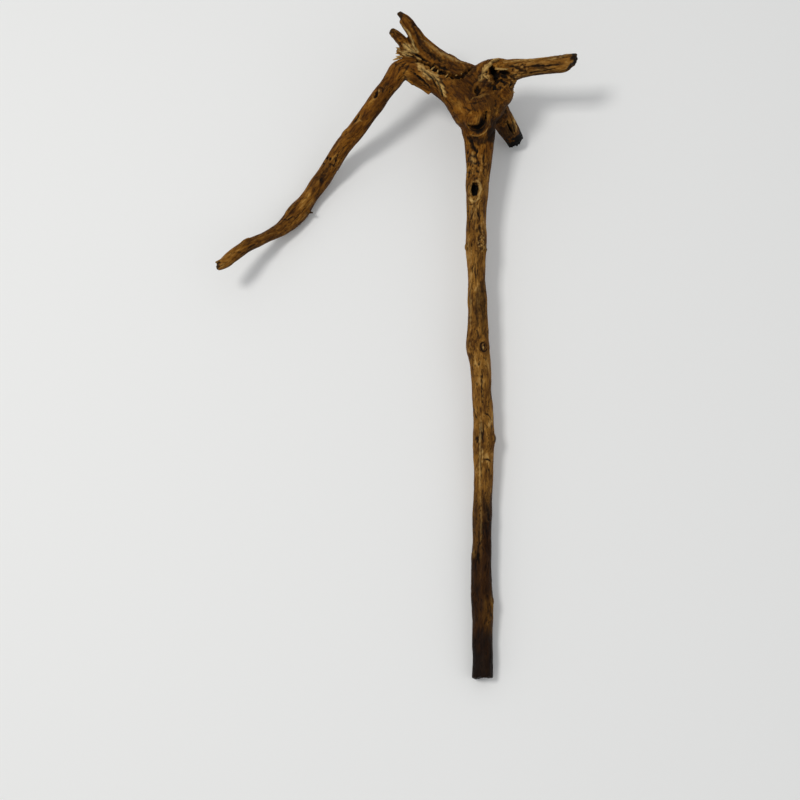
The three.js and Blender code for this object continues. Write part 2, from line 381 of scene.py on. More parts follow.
patch((-36.6, 109.8, 13), (4.4, 5.4, 6), 0.4, (1.6, 1.6, 1.6), soot_and_shade=0.45, seed=17)
mark([(-64.8, 74.6), (-58.4, 82.6)], 1.0, 0.4, soot_and_shade=0.4, rough=0.6)
mark([(-56, 96.4), (-51.6, 102)], 1.3, 0.3, soot_and_shade=0.4, rough=0.6)
mark([(-69.6, 78.4), (-66, 77.6), (-62.6, 80.4)], 0.8, 0.5, soot_and_shade=0.6, rough=0.6)
mark([(-90.2, 58.6), (-92.6, 56.4)], 1.0, 0.9, soot_and_shade=0.95, rough=0.5)
# the tip, split and snapped
mark([(-105.4, 41.8), (-101.2, 43)], 1.2, 2.4, soot_and_shade=0.8, deep=True)
snap((-102.9, 41.4, 26.9), (-0.88, -0.42, 0.3), 1.6)
char_and_shade((-104.6, 41.2, 27.2), 3.8, 0.8, ragged=0.6)


# ---- Upper and short spurs -------------------------------------------
# Two torn spurs that leave the crown together, up and to the left. Their strand runs along the
# crown's upper edge as a band of its own. The wood is pale and fibrous where it tore.
UPPER_SPUR = np.array([
    [51, 152, 35, 16, 14],
    [42, 156.2, 37.5, 14.8, 13.6],
    [32.5, 160.8, 40, 12.8, 12.4],
    [23.5, 165.8, 43.2, 11, 10.8],
    [14.3, 172.9, 48, 9.2, 9.2],
    [10.2, 177.4, 51.8, 8.2, 7.8],
    [5.6, 182, 56.5, 7, 6],
    [1.4, 185.8, 59.4, 3.8, 3.4],
])
SHORT_SPUR = np.array([
    [20, 162.5, 41, 10, 10],
    [14.2, 165.4, 42.6, 9.4, 9.4],
    [8.4, 169.2, 45.6, 7.8, 8],
    [3.8, 173, 49, 6.6, 6],
    [-0.3, 176, 51.6, 5.8, 4.8],
    [-3.4, 177.9, 53.8, 4, 3.2],
])
# the torn shelf between the short spur and the limb
SHELF = [
    [13, 164, 42.5, 9, 8],
    [7, 167.4, 45, 8, 5.6],
    [3, 168.6, 46, 5.4, 3.2],
    [-0.4, 168.8, 46.4, 2.4, 1.6],
]
for spur in (UPPER_SPUR, SHORT_SPUR, SHELF):
    grow(spur)

# pale torn fibre in the crotch and on the shelf, a paler strip along the strand's top that is a
# painted highlight, and dark edges
mark([(3.3, 179.6), (6.6, 176.2), (8.6, 173.2), (10.2, 169.8), (12.6, 166.8)], 1.4, 0.2,
     pale=0.9, rough=0.5)
mark([(4.2, 170.2), (7.4, 168.4), (11, 166.4)], 2.7, 0.2, pale=1.0, rough=0.6)
mark([(-3.4, 176.2), (0.2, 172.6), (3.2, 169.4)], 1.4, 0.2, soot_and_shade=0.75, rough=0.7)
mark([(4.4, 184.8), (8.6, 182.2), (12.6, 178.8), (15.4, 175)], 1.6, 0.2, soot_and_shade=0.75, rough=0.5)
# a painted highlight along the strand's top
mark([(17, 172), (25.5, 165.8), (33.6, 163), (41, 161.2)], 2.0, -0.2, pale=0.38, rough=0.7)
mark([(3, 167.6), (8, 165.4)], 2.2, 0.3, pale=0.9, rough=0.7)
mark([(3.4, 171.6), (8.4, 168.4), (12.6, 165)], 0.6, 0.8, soot_and_shade=0.6, rough=0.7)
mark([(1.6, 170.4), (5.8, 167.8)], 0.6, 0.7, soot_and_shade=0.6, rough=0.7)
mark([(8.6, 181), (14, 174.6), (20, 170)], 1.6, 0.2, soot_and_shade=0.3, rough=0.7)
# the shadowed lower side of the spurs' strand
mark([(12, 170.6), (18.6, 165), (25.4, 160.4), (34, 156.8), (42, 156.4)], 2.2, 0.6,
     soot_and_shade=0.35, rough=0.25)
mark([(8.8, 180), (12.4, 174.6), (14.6, 169.8), (18.6, 165.8), (23, 163.2), (29, 161),
      (35, 158.8)], 3.2, 0.5, soot_and_shade=0.78, rough=0.4)
# the torn, blackened tips
snap((1.0, 186.4, 60.2), (-0.5, 0.55, 0.67), 0.5)
snap((-3.2, 178, 53.8), (-0.66, 0.35, 0.66), 0.6)
char_and_shade((0.8, 186.6, 60.4), 5.4, 0.85)
char_and_shade((-4.2, 178.6, 54), 3.6, 0.75)


# ---- Arm -------------------------------------------------------------
# The short arm that points right, out of a knuckled root with a deep cavity in it, painted black
# inside as shade. Its end is snapped off slantwise.
ARM = np.array([
    [47, 143, 33.5, 18, 17],
    [54.5, 152, 36.6, 17.6, 16.4],
    [62, 157.2, 38.6, 15.4, 14.8],
    [70, 159, 40.1, 12, 12],
    [78, 159.1, 41.8, 10, 10.4],
    [89.5, 159.2, 43.6, 9.8, 9.6],
    [97, 159, 44.7, 10.2, 8.8],
    [102.5, 159.8, 45.6, 9.2, 7.6],
    [106, 160.4, 46, 8, 6.4],
])
grow(ARM)

# the long crack, light and dark streaks beside it, and painted highlights along the arm's top and on
# its end
mark([(74, 156.6), (79, 156.8), (88, 156.5), (97, 156.6)], 0.8, 0.9, soot_and_shade=0.75, deep=True, rough=0.6)
mark([(73.6, 163.4), (80.4, 162.9), (88, 162.6)], 0.9, 0.2, soot_and_shade=0.65, rough=0.7)
mark([(63, 157.8), (68, 157.8), (72.1, 155.7), (78.6, 154.3)], 1.2, 0.6, soot_and_shade=0.75, rough=0.7)
# a painted highlight along the arm's top
mark([(62.4, 160.3), (72, 161.6), (80, 161.7), (88, 162.2), (98.7, 161.9)], 1.2, -0.2,
     pale=0.35, rough=0.7)
mark([(70, 153.8), (80, 154.4), (92, 155)], 0.8, 0.5, soot_and_shade=0.6, rough=0.8)
mark([(72, 162), (84, 162.2), (95, 163.2)], 1.4, -0.3, pale=0.45, rough=0.8)
mark([(86, 159.6), (96, 161)], 1.1, -0.2, pale=0.4, rough=0.8)
# a painted highlight on the top of the snapped end
mark([(97, 163.6), (102, 163)], 1.4, -0.2, pale=0.8, rough=0.7)
# the wrinkled root and the end, which broke in two slants
patch((71, 157, 44), (7, 6, 5), 0.5, (1.8, 1.6, 1.6), soot_and_shade=0.6, seed=15)
snap((104.2, 161, 45.6), (1.0, -0.06, 0.1), 1.1, 5.0)
snap((100.5, 156.6, 45.6), (0.62, -0.78, 0.0), 0.9, 3.0)
char_and_shade((105.8, 160.6, 46.4), 5.2, 0.95, ragged=0.5)
char_and_shade((102.2, 156, 45), 3.6, 0.8)


# ---- Back stub -------------------------------------------------------
# The stub that points back and down from under the arm, blackened and hollow at its broken end.
# That end is the second resting spot.
STUB = np.array([
    [51, 149, 33, 17, 14],
    [54, 144.4, 30, 18, 14],
    [58.5, 140.6, 24.6, 16, 13],
    [63, 137.4, 18, 13.4, 12],
    [67.4, 134, 10.8, 11.6, 10.8],
    [70.8, 131, 4.4, 10.4, 9.6],
    [72, 129.8, 2.2, 8, 7.6],
])
grow(STUB)

# the blackened end, with pale wood between its splits
char_and_shade((71.6, 129.4, 4.5), 11, 1.0, ragged=0.55)
char_and_shade((64.4, 131.6, 17), 6, 0.75, ragged=0.4)
mark([(67.6, 138.6), (69.4, 135.4), (70.6, 133.4)], 1.9, -0.4, pale=0.75, rough=0.8)
mark([(69, 130.6), (71.4, 127.8)], 1.2, 3.0, soot_and_shade=1.0, deep=True, rough=0.5)
mark([(66.6, 137.6), (69, 133.6), (70, 131)], 0.8, 0.9, soot_and_shade=0.9, rough=0.6)
mark([(62.6, 136), (66, 130.6)], 0.9, 0.9, soot_and_shade=0.9, rough=0.6)
mark([(69.4, 138), (72, 134)], 0.8, 0.6, soot_and_shade=0.7, rough=0.6)
snap((71.2, 130.6, 4.6), (0.55, -0.6, -0.58), 2.2)


# ---- Crown -----------------------------------------------------------
# The burr at the stem's head, where all the strands run together: a jagged crack between the
# spurs' strand and the limb's, a knuckled shoulder with a cavity, a pit, and a curled, eye-shaped
# knot on an overhanging nose.
def bead(path, thickness):
    """Adds a thin raised cord of wood through points in space, thinner at its ends."""
    count = len(path)
    sizes = [thickness * (0.5 + 0.5 * math.sin(math.pi * (k + 0.5) / count)) for k in range(count)]
    grow([[*point, size, size] for point, size in zip(path, sizes)], steps=5, sides=10)


# the nose, the shoulder, the body of the burr, and the knuckles round the cavity
swell((47, 129, 35), (7.6, 7.4, 6.4), 10)
swell((56, 159, 40), (12, 6.6, 6), 12)
swell((50.5, 141, 33.5), (14, 13.5, 10.6), 25)
swell((60, 153.5, 38.6), (9.5, 7, 7.5), 20)
swell((60.4, 146.4, 35.6), (8, 8.6, 8.4), 15)
swell((65.4, 151.8, 38.4), (5.2, 3.6, 5), 35)

# the eye: a crescent hollow under a smooth lid, painted black inside as shade, and the thin pale ring
# round it
bead([(42.6, 121.6, 32.6), (44.6, 120.2, 33.1), (47.6, 119.4, 33.9), (51.6, 121.8, 34.3),
      (54, 126.4, 35), (54.2, 131, 36.2), (52.4, 134.4, 38.2)], 0.8)
mark([(42, 124.3), (44.6, 122.9), (47.6, 122.5), (50.6, 124.5), (52, 127.6), (52.4, 131)], 2.1, 4,
     soot_and_shade=1.0, deep=True, rough=0.06, into=SLANT)
mark([(48.8, 123.6), (50.6, 125.4), (51.2, 129)], 3.4, 2.6,
     soot_and_shade=1.0, deep=True, rough=0.1, into=SLANT)
mark([(42.2, 123.9), (44.7, 122), (47.8, 121.5), (50.9, 123), (52.6, 126.4), (53.1, 130.6)], 2.2, 0.4,
     soot_and_shade=0.98, rough=0.15)
mark([(43, 121), (44.8, 119.8), (47.7, 119), (51.8, 121.4), (54.3, 126.2), (54.5, 131)], 0.55, -0.4,
     pale=0.3, rough=0.1)
# painted shadow in the fold under the overhanging nose, and painted shade on the nose's right side
mark([(41.4, 119.8), (44, 118.2), (48.6, 116.6), (54.4, 118.6), (57.6, 125.4)], 3.6, 1.1,
     soot_and_shade=0.7, rough=0.2)
char_and_shade((56.6, 122, 30), 5.6, 0.85, ragged=0.3)
char_and_shade((59.4, 128, 28), 7.4, 0.82, ragged=0.25)
char_and_shade((57, 128.6, 32), 4.4, 0.75, ragged=0.4)
# a dark streak down the burr's right side, part stain and part painted shade
mark([(52, 141.6), (53.6, 138), (55.2, 135), (56.4, 131.8), (56.4, 127)], 4.4, 0.3,
     soot_and_shade=0.62, rough=0.5)
# a darker patch at the crack's end, painted shade down the burr's right side, and the burr darkened all
# over
char_and_shade((43.6, 156.4, 43.8), 3.8, 0.6, ragged=0.6)
char_and_shade((58.6, 136.6, 31), 8.5, 0.66, ragged=0.45)
char_and_shade((41, 147, 44), 13, 0.3, ragged=0.5)
char_and_shade((51, 142, 43), 11, 0.42, ragged=0.5)
# the jagged crack between the two strands, painted black inside as shade
mark([(12.6, 161.6), (15.4, 161), (18.8, 160), (21.6, 158), (24.4, 156.4), (29.6, 154.2),
      (34, 152), (38.6, 153.6), (43, 157.6)], 2.5, 4, soot_and_shade=1.0, deep=True, rough=0.75)
mark([(9, 166.6), (13.2, 164.7), (16.8, 162.4), (20.4, 161)], 1.0, 2.0,
     soot_and_shade=0.95, deep=True, rough=0.4)
mark([(10.8, 164.6), (14, 162.9), (16.6, 161.8)], 0.9, -0.3, pale=0.85, rough=0.7)
# painted shadow under the upper strand's overhanging edge
mark([(22, 160.6), (27, 158), (31, 156.6)], 1.2, 1.6, soot_and_shade=0.9, deep=True, rough=0.7)
# where the limb's strand tucks in under the torn shelf, painted dark there as shade
mark([(-1.4, 163.2), (2.4, 165.8), (7, 166), (11.4, 163.4)], 1.0, 1.3, soot_and_shade=0.9, deep=True, rough=0.4)
# pale flakes on the limb's strand, and the dark splits between them
mark([(12.4, 159.4), (16.2, 155.2), (20.4, 150.8)], 3.2, -0.4, pale=0.85, rough=1.0)
mark([(18.4, 155.6), (23, 151.8), (26.4, 147)], 2.8, -0.4, pale=0.75, rough=1.0)
mark([(23.4, 149.8), (27, 145.2), (28.6, 142)], 1.9, -0.3, pale=0.95, rough=0.8)
mark([(14.6, 156.4), (20.7, 151.2), (23.9, 146.4)], 0.9, 0.9, soot_and_shade=0.95, rough=0.7)
mark([(20.8, 153), (24.6, 148.6), (26.6, 144), (27.4, 141.4)], 0.9, 0.9, soot_and_shade=0.9, rough=0.7)
bead([(5.6, 154.4, 38.6), (9, 152.4, 38.8), (13.4, 150, 38), (16.8, 147.8, 37), (19.2, 146, 36.4)], 2.6)
mark([(8.4, 155.6), (13.4, 152.2), (18.6, 148.6), (23.4, 144.2)], 1.0, 1.6,
     soot_and_shade=0.95, deep=True, rough=0.6)
# the cavity in the arm's root with the smaller hollows beside it, painted black inside as shade,
# and a pale rim on the ridge above it that is a painted highlight
mark([(55.4, 157), (56.6, 154.4), (57.8, 151.4)], 3.1, 8, soot_and_shade=1.0, deep=True, rough=0.15, into=SLANT)
mark([(56.8, 154.4), (57.8, 151.8), (58.4, 149.2)], 2.9, 6,
     soot_and_shade=1.0, deep=True, rough=0.25, into=SLANT)
mark([(60.6, 153.8), (65.4, 153.4)], 2.1, 4, soot_and_shade=1.0, deep=True, rough=0.4, into=SLANT)
mark([(60.6, 152.2), (62.8, 151.6), (64.4, 150.8)], 1.5, 2.4,
     soot_and_shade=0.95, deep=True, rough=0.5, into=SLANT)
mark([(65.8, 152.6), (68.8, 152), (71.4, 152.6)], 1.9, 0.4, soot_and_shade=0.75, rough=0.8)
# a painted highlight along the ridge by the cavity
mark([(49.3, 149.8), (50.2, 153.6), (52.2, 157.5), (55.9, 161), (60, 163)], 1.9, -1.0,
     pale=0.8, rough=0.6)
# the pit, and the wrinkles under it
mark([(46.6, 146.8), (47.4, 143.8), (47, 140.8)], 2.7, 3, soot_and_shade=0.95, deep=True, rough=0.5)
mark([(43.4, 138.2), (46, 139.2), (48.8, 139), (51.6, 140.4), (54, 140.6)], 1.1, -0.4,
     pale=0.12, rough=0.9)
mark([(45.4, 140.4), (48.4, 140.6), (51, 142.2), (53.6, 142.2)], 0.8, 0.5, soot_and_shade=0.55, rough=0.8)
mark([(42, 136.4), (46, 135.6), (50, 136.4)], 0.8, 0.4, soot_and_shade=0.45, rough=0.5)
# crumbling wood below the cavity and on either side of it
patch((59, 147.2, 40), (7, 4.6, 8), 1.4, (2.4, 2.4, 2.4), soot_and_shade=1.0)
patch((66, 150, 38), (5, 5, 8), 0.9, (1.8, 1.8, 1.8), soot_and_shade=0.7, seed=13)
patch((52, 151.5, 43), (5, 5, 6), 0.8, (2.4, 2.0, 2.0), soot_and_shade=0.6, pale=0.5, seed=14)


# ---- Splinters -------------------------------------------------------
# Pale torn fibres that still stand where wood broke away: on the shelf beside the short spur, over
# the cavity, down the crown's right side and along the crack's lips. The white one over the cavity
# stands for a painted highlight. Each is a thin, flat spike, slightly bent, given by its root, its
# tip and its thickness.
SPLINTERS = [
    ((4.5, 168.6, 46.4), (-0.6, 170.2, 48.0), 2.2), ((3.8, 167.6, 45.4), (-0.8, 167.4, 46.2), 2.0),
    ((2.6, 166.2, 44.8), (-2.6, 164.2, 44.4), 2.0), ((5.2, 166.8, 46.6), (0.2, 168.4, 48), 1.4),
    ((4.6, 165.8, 45.6), (-0.8, 165.4, 46.4), 1.4), ((9.4, 165.6, 47), (3.4, 167, 47.8), 1.4),
    # the first below, over the cavity, is a white sliver that stands for a painted highlight
    ((57.4, 155.8, 46.6), (65.4, 155.4, 46.6), 1.6), ((50.8, 153, 44.8), (53.6, 149.8, 44.8), 1.4),
    ((66, 147.2, 38.4), (69, 145, 37.8), 1.6), ((65.4, 144.8, 36), (68, 142.6, 35.4), 1.5),
    ((19.4, 156.4, 43.8), (22.6, 158, 46.4), 1.2), ((23.2, 154, 43.8), (24.4, 156.2, 46.2), 1.3),
    ((27.4, 152, 43.4), (30.4, 153.4, 45.8), 1.2), ((35, 154.6, 42.6), (34.6, 152.4, 44.8), 1.4),
    ((37.6, 156, 42.4), (38, 153.8, 44.4), 1.4),
]
SPLINTER_BEND = 0.12
SPLINTER_FLATNESS = 0.5
SPLINTER_TAPER = ((0, 1), (0.3, 0.9), (0.6, 0.7), (0.85, 0.4), (1, 0.08))
SPLINTER_PALE = 0.6
# the bends are drawn from this seed: unseeded, they would change with the clock
SPLINTER_SEED = 1795159556

splinter_wood = bmesh.new()
noise.seed_set(SPLINTER_SEED)
for root, tip, thickness in SPLINTERS:
    root, tip = np.array(root), np.array(tip)
    bend = SPLINTER_BEND * np.linalg.norm(tip - root) * noise.noise_vector(Vector(root))
    stations = [
        [*(root + share * (tip - root) + 4 * share * (1 - share) * np.array(bend)),
         thickness * size, SPLINTER_FLATNESS * thickness * size]
        for share, size in SPLINTER_TAPER
    ]
    grow(stations, steps=2, sides=7, into=splinter_wood)


# ---- Skin ------------------------------------------------------------
# The limbs are one wood, so the raw tubes are fused into one skin. The broken ends are torn, the
# deep marks are cut, and the skin is made fine before the grain is worked into it.
COARSE = 0.5
COARSE_SMOOTHINGS = 6
FINE = 0.42
FINE_SMOOTHINGS = 2
SMOOTHING_SHARE = 0.5
SEED_STEP = 7.31
# where a plan point starts to drop onto the skin, and where one that misses looks for it
OVERHEAD = 200.0
MID_HEIGHT = 30
# a mark's width at its ends and what its middle adds, how soft its edge is, as shares of the
# width, and how long the waves of a ragged edge are
MARK_ENDS = 0.55
MARK_MIDDLE = 0.45
MARK_FADE = 0.85
RAGGED_WAVE = 1.6
# how far round and past a break the wood is torn back, and how many places give a mark's way in
SNAP_RADIUS = 9
SNAP_LENGTH = 12
WAY_IN_PLACES = 40


def fused(name, mesh, voxel, smoothings):
    """A new mesh: the union of what overlaps in a mesh, in even faces of about one voxel."""
    raw = bpy.data.objects.new(name, mesh)
    bpy.context.collection.objects.link(raw)
    union = raw.modifiers.new("union", "REMESH")
    union.mode = "VOXEL"
    union.voxel_size = voxel
    ease = raw.modifiers.new("ease", "SMOOTH")
    ease.factor = SMOOTHING_SHARE
    ease.iterations = smoothings
    depsgraph = bpy.context.evaluated_depsgraph_get()
    skin = bpy.data.meshes.new_from_object(raw.evaluated_get(depsgraph))
    bpy.data.objects.remove(raw)
    return skin


def places(mesh):
    flat = np.empty(len(mesh.vertices) * 3, np.float32)
    mesh.vertices.foreach_get("co", flat)
    return flat.reshape(-1, 3).astype(float)


def outward(mesh):
    flat = np.empty(len(mesh.vertices) * 3, np.float32)
    mesh.vertex_normals.foreach_get("vector", flat)
    return flat.reshape(-1, 3).astype(float)


def move_to(mesh, co):
    mesh.vertices.foreach_set("co", co.astype(np.float32).ravel())
    mesh.update()


def wave(points, sizes, seed):
    """Smooth noise, about -1 to 1, at each point; its waves are as long as sizes say."""
    return np.array([noise.noise(p) for p in (points / sizes + SEED_STEP * seed).tolist()])


def eased(value, low, high):
    """0 below low, 1 above high, and a smooth rise between them."""
    t = np.clip((value - low) / (high - low), 0, 1)
    return t * t * (3 - 2 * t)


def smoothed(mesh, values, rounds):
    """Values at a mesh's places, evened out between neighbours a number of times."""
    count = len(mesh.vertices)
    ends = np.empty(len(mesh.edges) * 2, np.int32)
    mesh.edges.foreach_get("vertices", ends)
    a, b = ends.reshape(-1, 2).T
    degree = np.bincount(a, minlength=count) + np.bincount(b, minlength=count)
    for _ in range(rounds):
        total = [np.bincount(a, v[b], count) + np.bincount(b, v[a], count) for v in values.T]
        values = (values + np.stack(total, 1) / degree[:, None]) / 2
    return values


def on_skin(tree, path):
    """Drops plan points onto the skin's upper side, or beside it onto the nearest skin."""
    dropped = []
    for x, y in path:
        hit = tree.ray_cast(Vector((x, y, OVERHEAD)), Vector((0, 0, -1)))[0]
        if hit is None:
            hit = tree.find_nearest(Vector((x, y, MID_HEIGHT)))[0]
        dropped.append(hit)
    return np.array(dropped)


def reach(co, path, width, rough, sunk=None):
    """How strongly a mark acts on each place: 1 on its path, 0 at its edge and beyond. A rough
    mark has a ragged edge, and every mark narrows at its ends. A sunk mark acts all the way down."""
    far = 2 * width + (0 if sunk is None else np.abs(sunk))
    near = np.flatnonzero(np.all((co > path.min(0) - far) & (co < path.max(0) + far), axis=1))
    spots = co[near]
    gap = np.full(len(near), np.inf)
    share = np.zeros(len(near))
    legs = len(path) - 1
    for k in range(legs):
        leg = path[k + 1] - path[k]
        t = np.clip(((spots - path[k]) @ leg) / max(leg @ leg, 1e-9), 0, 1)
        offset = spots - path[k] - t[:, None] * leg
        if sunk is not None:
            depth = np.linalg.norm(sunk)
            down = np.clip(offset @ (sunk / depth), 0, depth)
            offset = offset - down[:, None] * (sunk / depth)
        away = np.linalg.norm(offset, axis=1)
        closer = away < gap
        gap[closer] = away[closer]
        share[closer] = (k + t[closer]) / legs
    slim = MARK_ENDS + MARK_MIDDLE * np.sin(np.pi * np.clip(share, 0.02, 0.98))
    ragged = 1 + rough * wave(spots, RAGGED_WAVE, 3)
    full = width * slim * ragged
    return near, eased(full - gap, 0, width * MARK_FADE)


wood_mesh = bpy.data.meshes.new("raw_wood")
wood.to_mesh(wood_mesh)
wood.free()
coarse = fused("coarse", wood_mesh, COARSE, COARSE_SMOOTHINGS)

co = places(coarse)
for point, towards, ragged, depth in snaps:
    towards = towards / np.linalg.norm(towards)
    past = (co - point) @ towards
    sideways = np.linalg.norm(co - point - past[:, None] * towards, axis=1)
    end = np.flatnonzero((sideways < SNAP_RADIUS) & (past > -depth) & (past < SNAP_LENGTH))
    flat = co[end] - past[end, None] * towards
    torn = ragged * (wave(flat, 1.3, 21) + 0.6 * wave(flat, 3.1, 22))
    co[end] -= np.maximum(past[end] - torn, 0)[:, None] * towards
move_to(coarse, co)

tree = BVHTree.FromPolygons(
    [vert.co[:] for vert in coarse.vertices], [face.vertices[:] for face in coarse.polygons])
for m in marks:
    m["route"] = on_skin(tree, m["path"])
faces_out = outward(coarse)
for m in marks:
    if not m["deep"]:
        continue
    near, strength = reach(co, m["route"], m["width"], m["rough"])
    middle = m["route"].mean(0)
    closest = np.argsort(np.linalg.norm(co - middle, axis=1))[:WAY_IN_PLACES]
    inward = -faces_out[closest].mean(0) if m["into"] is None else np.array(m["into"])
    m["sunk"] = inward / np.linalg.norm(inward) * m["depth"]
    co[near] += m["sunk"] * strength[:, None]
move_to(coarse, co)
fine = fused("fine", coarse, FINE, FINE_SMOOTHINGS)


# ---- Grain -----------------------------------------------------------
# Every place in the skin knows which strand it grew on, how far along it lies, and where it is
# across it. The fibres, wrinkles and checks follow those directions, as grown wood does.
MAIN = np.vstack([STEM[:-2], LIMB])
SPIRAL = math.radians(0.35)
GRAIN_STEPS = 12
PLACES_AT_ONCE = 20000
# strands are set this far apart along the grain, so that no two have the same streaks
STRANDS_APART = 400.0
# how far a knot pushes the grain aside, in its own half lengths and half widths
KNOT_REACH = 4
KNOT_CORE = 0.3
KNOT_FADE = 3
# the dark of a deep mark, painted shade in most of its hollows, spreads past its edges
STAIN_SPREAD = 1.4
# rounds of evening out that find the hollows, and which shares of the skin they begin and end at
HOLLOW_ROUNDS = 20
HOLLOW_SHARES = (55, 98)
WORN_SHARES = (60, 99)
# where along the stem the damp ends, in full and for its fainter tail, and the stem's middle line
DAMP_END = -83
DAMP_TAIL_END = -89
STEM_MIDDLE = 50.5


def grain_of(co, route):
    """Each place across, in front of and along a route, and its distance from it as a share of
    the wood's radius there."""
    stations = along(route, GRAIN_STEPS)
    ahead, side, front = ring_frames(stations)
    gaps = np.linalg.norm(np.diff(stations[:, :3], axis=0), axis=1)
    length = np.concatenate([[0], np.cumsum(gaps)])
    nearest = np.empty(len(co), int)
    for start in range(0, len(co), PLACES_AT_ONCE):
        some = co[start:start + PLACES_AT_ONCE]
        away = ((some[:, None, :] - stations[None, :, :3]) ** 2).sum(2)
        nearest[start:start + PLACES_AT_ONCE] = away.argmin(1)
    offset = co - stations[nearest, :3]
    s = length[nearest] + (offset * ahead[nearest]).sum(1)
    a = (offset * side[nearest]).sum(1)
    b = (offset * front[nearest]).sum(1)
    turn = SPIRAL * s
    across = np.cos(turn) * a - np.sin(turn) * b
    facing = np.sin(turn) * a + np.cos(turn) * b
    thick = np.hypot(a, b) / (stations[nearest, 3:5].mean(1) / 2)
    return np.stack([across, facing, s], 1), thick


co = places(fine)
main_grain, main_thick = grain_of(co, MAIN)
side_grain = np.zeros_like(co)
side_thick = np.full(len(co), np.inf)
for number, route in enumerate((UPPER_SPUR, ARM, STUB)):
    grain, thick = grain_of(co, route)
    closer = thick < side_thick
    side_grain[closer] = grain[closer] + [0, 0, STRANDS_APART * (number + 1)]
    side_thick[closer] = thick[closer]
on_side = eased(main_thick - side_thick, -0.12, 0.3)

# the grain wanders, and parts round the knots
wander = np.stack([wave(co, 11.0, 31), wave(co, 11.0, 32)], 1)
wander = wander + 0.4 * np.stack([wave(co, 4.0, 33), wave(co, 4.0, 34)], 1)
main_grain[:, :2] += wander
side_grain[:, :2] += wander
for middle, half_width, half_length in knots:
    centre = np.linalg.norm(co - middle, axis=1).argmin()
    across = main_grain[:, 0] - main_grain[centre, 0]
    ahead = main_grain[:, 2] - main_grain[centre, 2]
    close = np.linalg.norm(co - middle, axis=1) < KNOT_REACH * half_length
    push = half_width * np.exp(-(ahead / half_length) ** 2)
    push = push * np.tanh(across / (KNOT_CORE * half_width))
    push *= np.exp(-(across / (KNOT_FADE * half_width)) ** 2)
    main_grain[close, 0] -= push[close]


def grained(sizes, seed):
    """Noise drawn out along the grain, joined where strands meet."""
    main = wave(main_grain, sizes, seed)
    side = wave(side_grain, sizes, seed)
    return main + (side - main) * on_side


# the relief, in millimetres: fibres, ribs, lumps and dents, and the fine checks that are sunk in it
fibres = grained((0.9, 0.9, 9.0), 1)
ribs = grained((2.8, 2.8, 17.0), 2)
lumps = grained((6.0, 6.0, 12.0), 3)
dents = grained((2.0, 2.0, 4.5), 6)
checks = np.abs(grained((2.6, 2.6, 30.0), 4)) + 0.25 * eased(grained((3, 3, 8), 7), -0.2, 0.3)

relief = 0.15 * fibres + 0.26 * ribs + 0.50 * lumps + 0.12 * dents
relief -= 0.35 * (1 - eased(checks, 0.0, 0.07))
soot_and_shade = 0.55 * (1 - eased(checks, 0.0, 0.08))
pale = np.zeros(len(co))

# the patches, the blackened places and the marks, with their stains and the painted shade and painted
# highlights among them
for middle, half, height, sizes, dark, light, seed in patches:
    inside = np.linalg.norm((co - middle) / half, axis=1)
    share = 1 - eased(inside + 0.35 * wave(co, 2.5, seed + 40), 0.6, 1.1)
    rough = wave(co + 1.3 * wander.repeat(2, 1)[:, :3], np.array(sizes), seed)
    rough += 0.5 * wave(co, np.array(sizes) / 2, seed + 20)
    relief += share * height * rough
    soot_and_shade = np.maximum(soot_and_shade, share * dark * eased(-rough, -0.05, 0.45))
    pale = np.maximum(pale, share * light * eased(rough, 0.1, 0.5))
for middle, radius, strength, ragged in chars_and_shades:
    away = np.linalg.norm(co - middle, axis=1) / radius + ragged * wave(co, 2.2, 16)
    soot_and_shade = np.maximum(soot_and_shade, strength * (1 - eased(away, 0.75, 1.05)))
faces_out = outward(fine)
for m in marks:
    width = m["width"] * (STAIN_SPREAD if m["deep"] else 1.0)
    near, strength = reach(co, m["route"], width, m["rough"], m.get("sunk"))
    soot_and_shade[near] = np.maximum(soot_and_shade[near], m["soot_and_shade"] * strength)
    pale[near] = np.maximum(pale[near], m["pale"] * strength)
    if not m["deep"]:
        relief[near] -= m["depth"] * strength
co += faces_out * relief[:, None]
co[:, 2] = np.maximum(co[:, 2], 0.0)
move_to(fine, co)

# painted shade darkens the hollows, and raised places are worn lighter
sunken = ((smoothed(fine, co, HOLLOW_ROUNDS) - co) * outward(fine)).sum(1)
hollow_shade = eased(sunken, *np.percentile(sunken, HOLLOW_SHARES))
worn = eased(-sunken, *np.percentile(-sunken, WORN_SHARES))

# painted shade: the crown and the limbs are darker underneath, on the sides turned from the lamp
up_and_left = co[:, 1] - 0.5 * co[:, 0]
underside_shade = eased(0.62 - faces_out[:, 2] + 0.25 * grained((2.4, 2.4, 8.0), 36), 0, 0.8)
soot_and_shade = np.maximum(soot_and_shade, 0.5 * underside_shade * eased(up_and_left, 30, 90))

# the foot has stood in the damp: the dark wood has a ragged edge, a paler line up its middle and
# a drier stretch on its right, and it is black at the end
seep = 9 * grained((2.2, 2.2, 34.0), 8)
to_left = eased(STEM_MIDDLE - co[:, 0], 0, 3.5)
damp = 0.65 * eased(DAMP_END - 5 * to_left + seep - co[:, 1], -2, 9)
damp = damp + 0.35 * eased(DAMP_TAIL_END - 24 * to_left + seep - co[:, 1], -2, 11)
damp *= 1 - 0.4 * np.exp(-((co[:, 0] - 49.4) / 0.8) ** 2) * eased(co[:, 1] + 2 * seep, -122, -108)
drier = eased(-np.abs(co[:, 1] + 155) + 5 * grained((2, 2, 9), 9), -14, -4) * eased(co[:, 0], 49, 53)
damp *= 1 - 0.45 * drier
soot_and_shade = np.maximum(soot_and_shade, 0.74 * eased(-co[:, 1] + 7 * grained((3, 3, 9), 10), 155, 180))

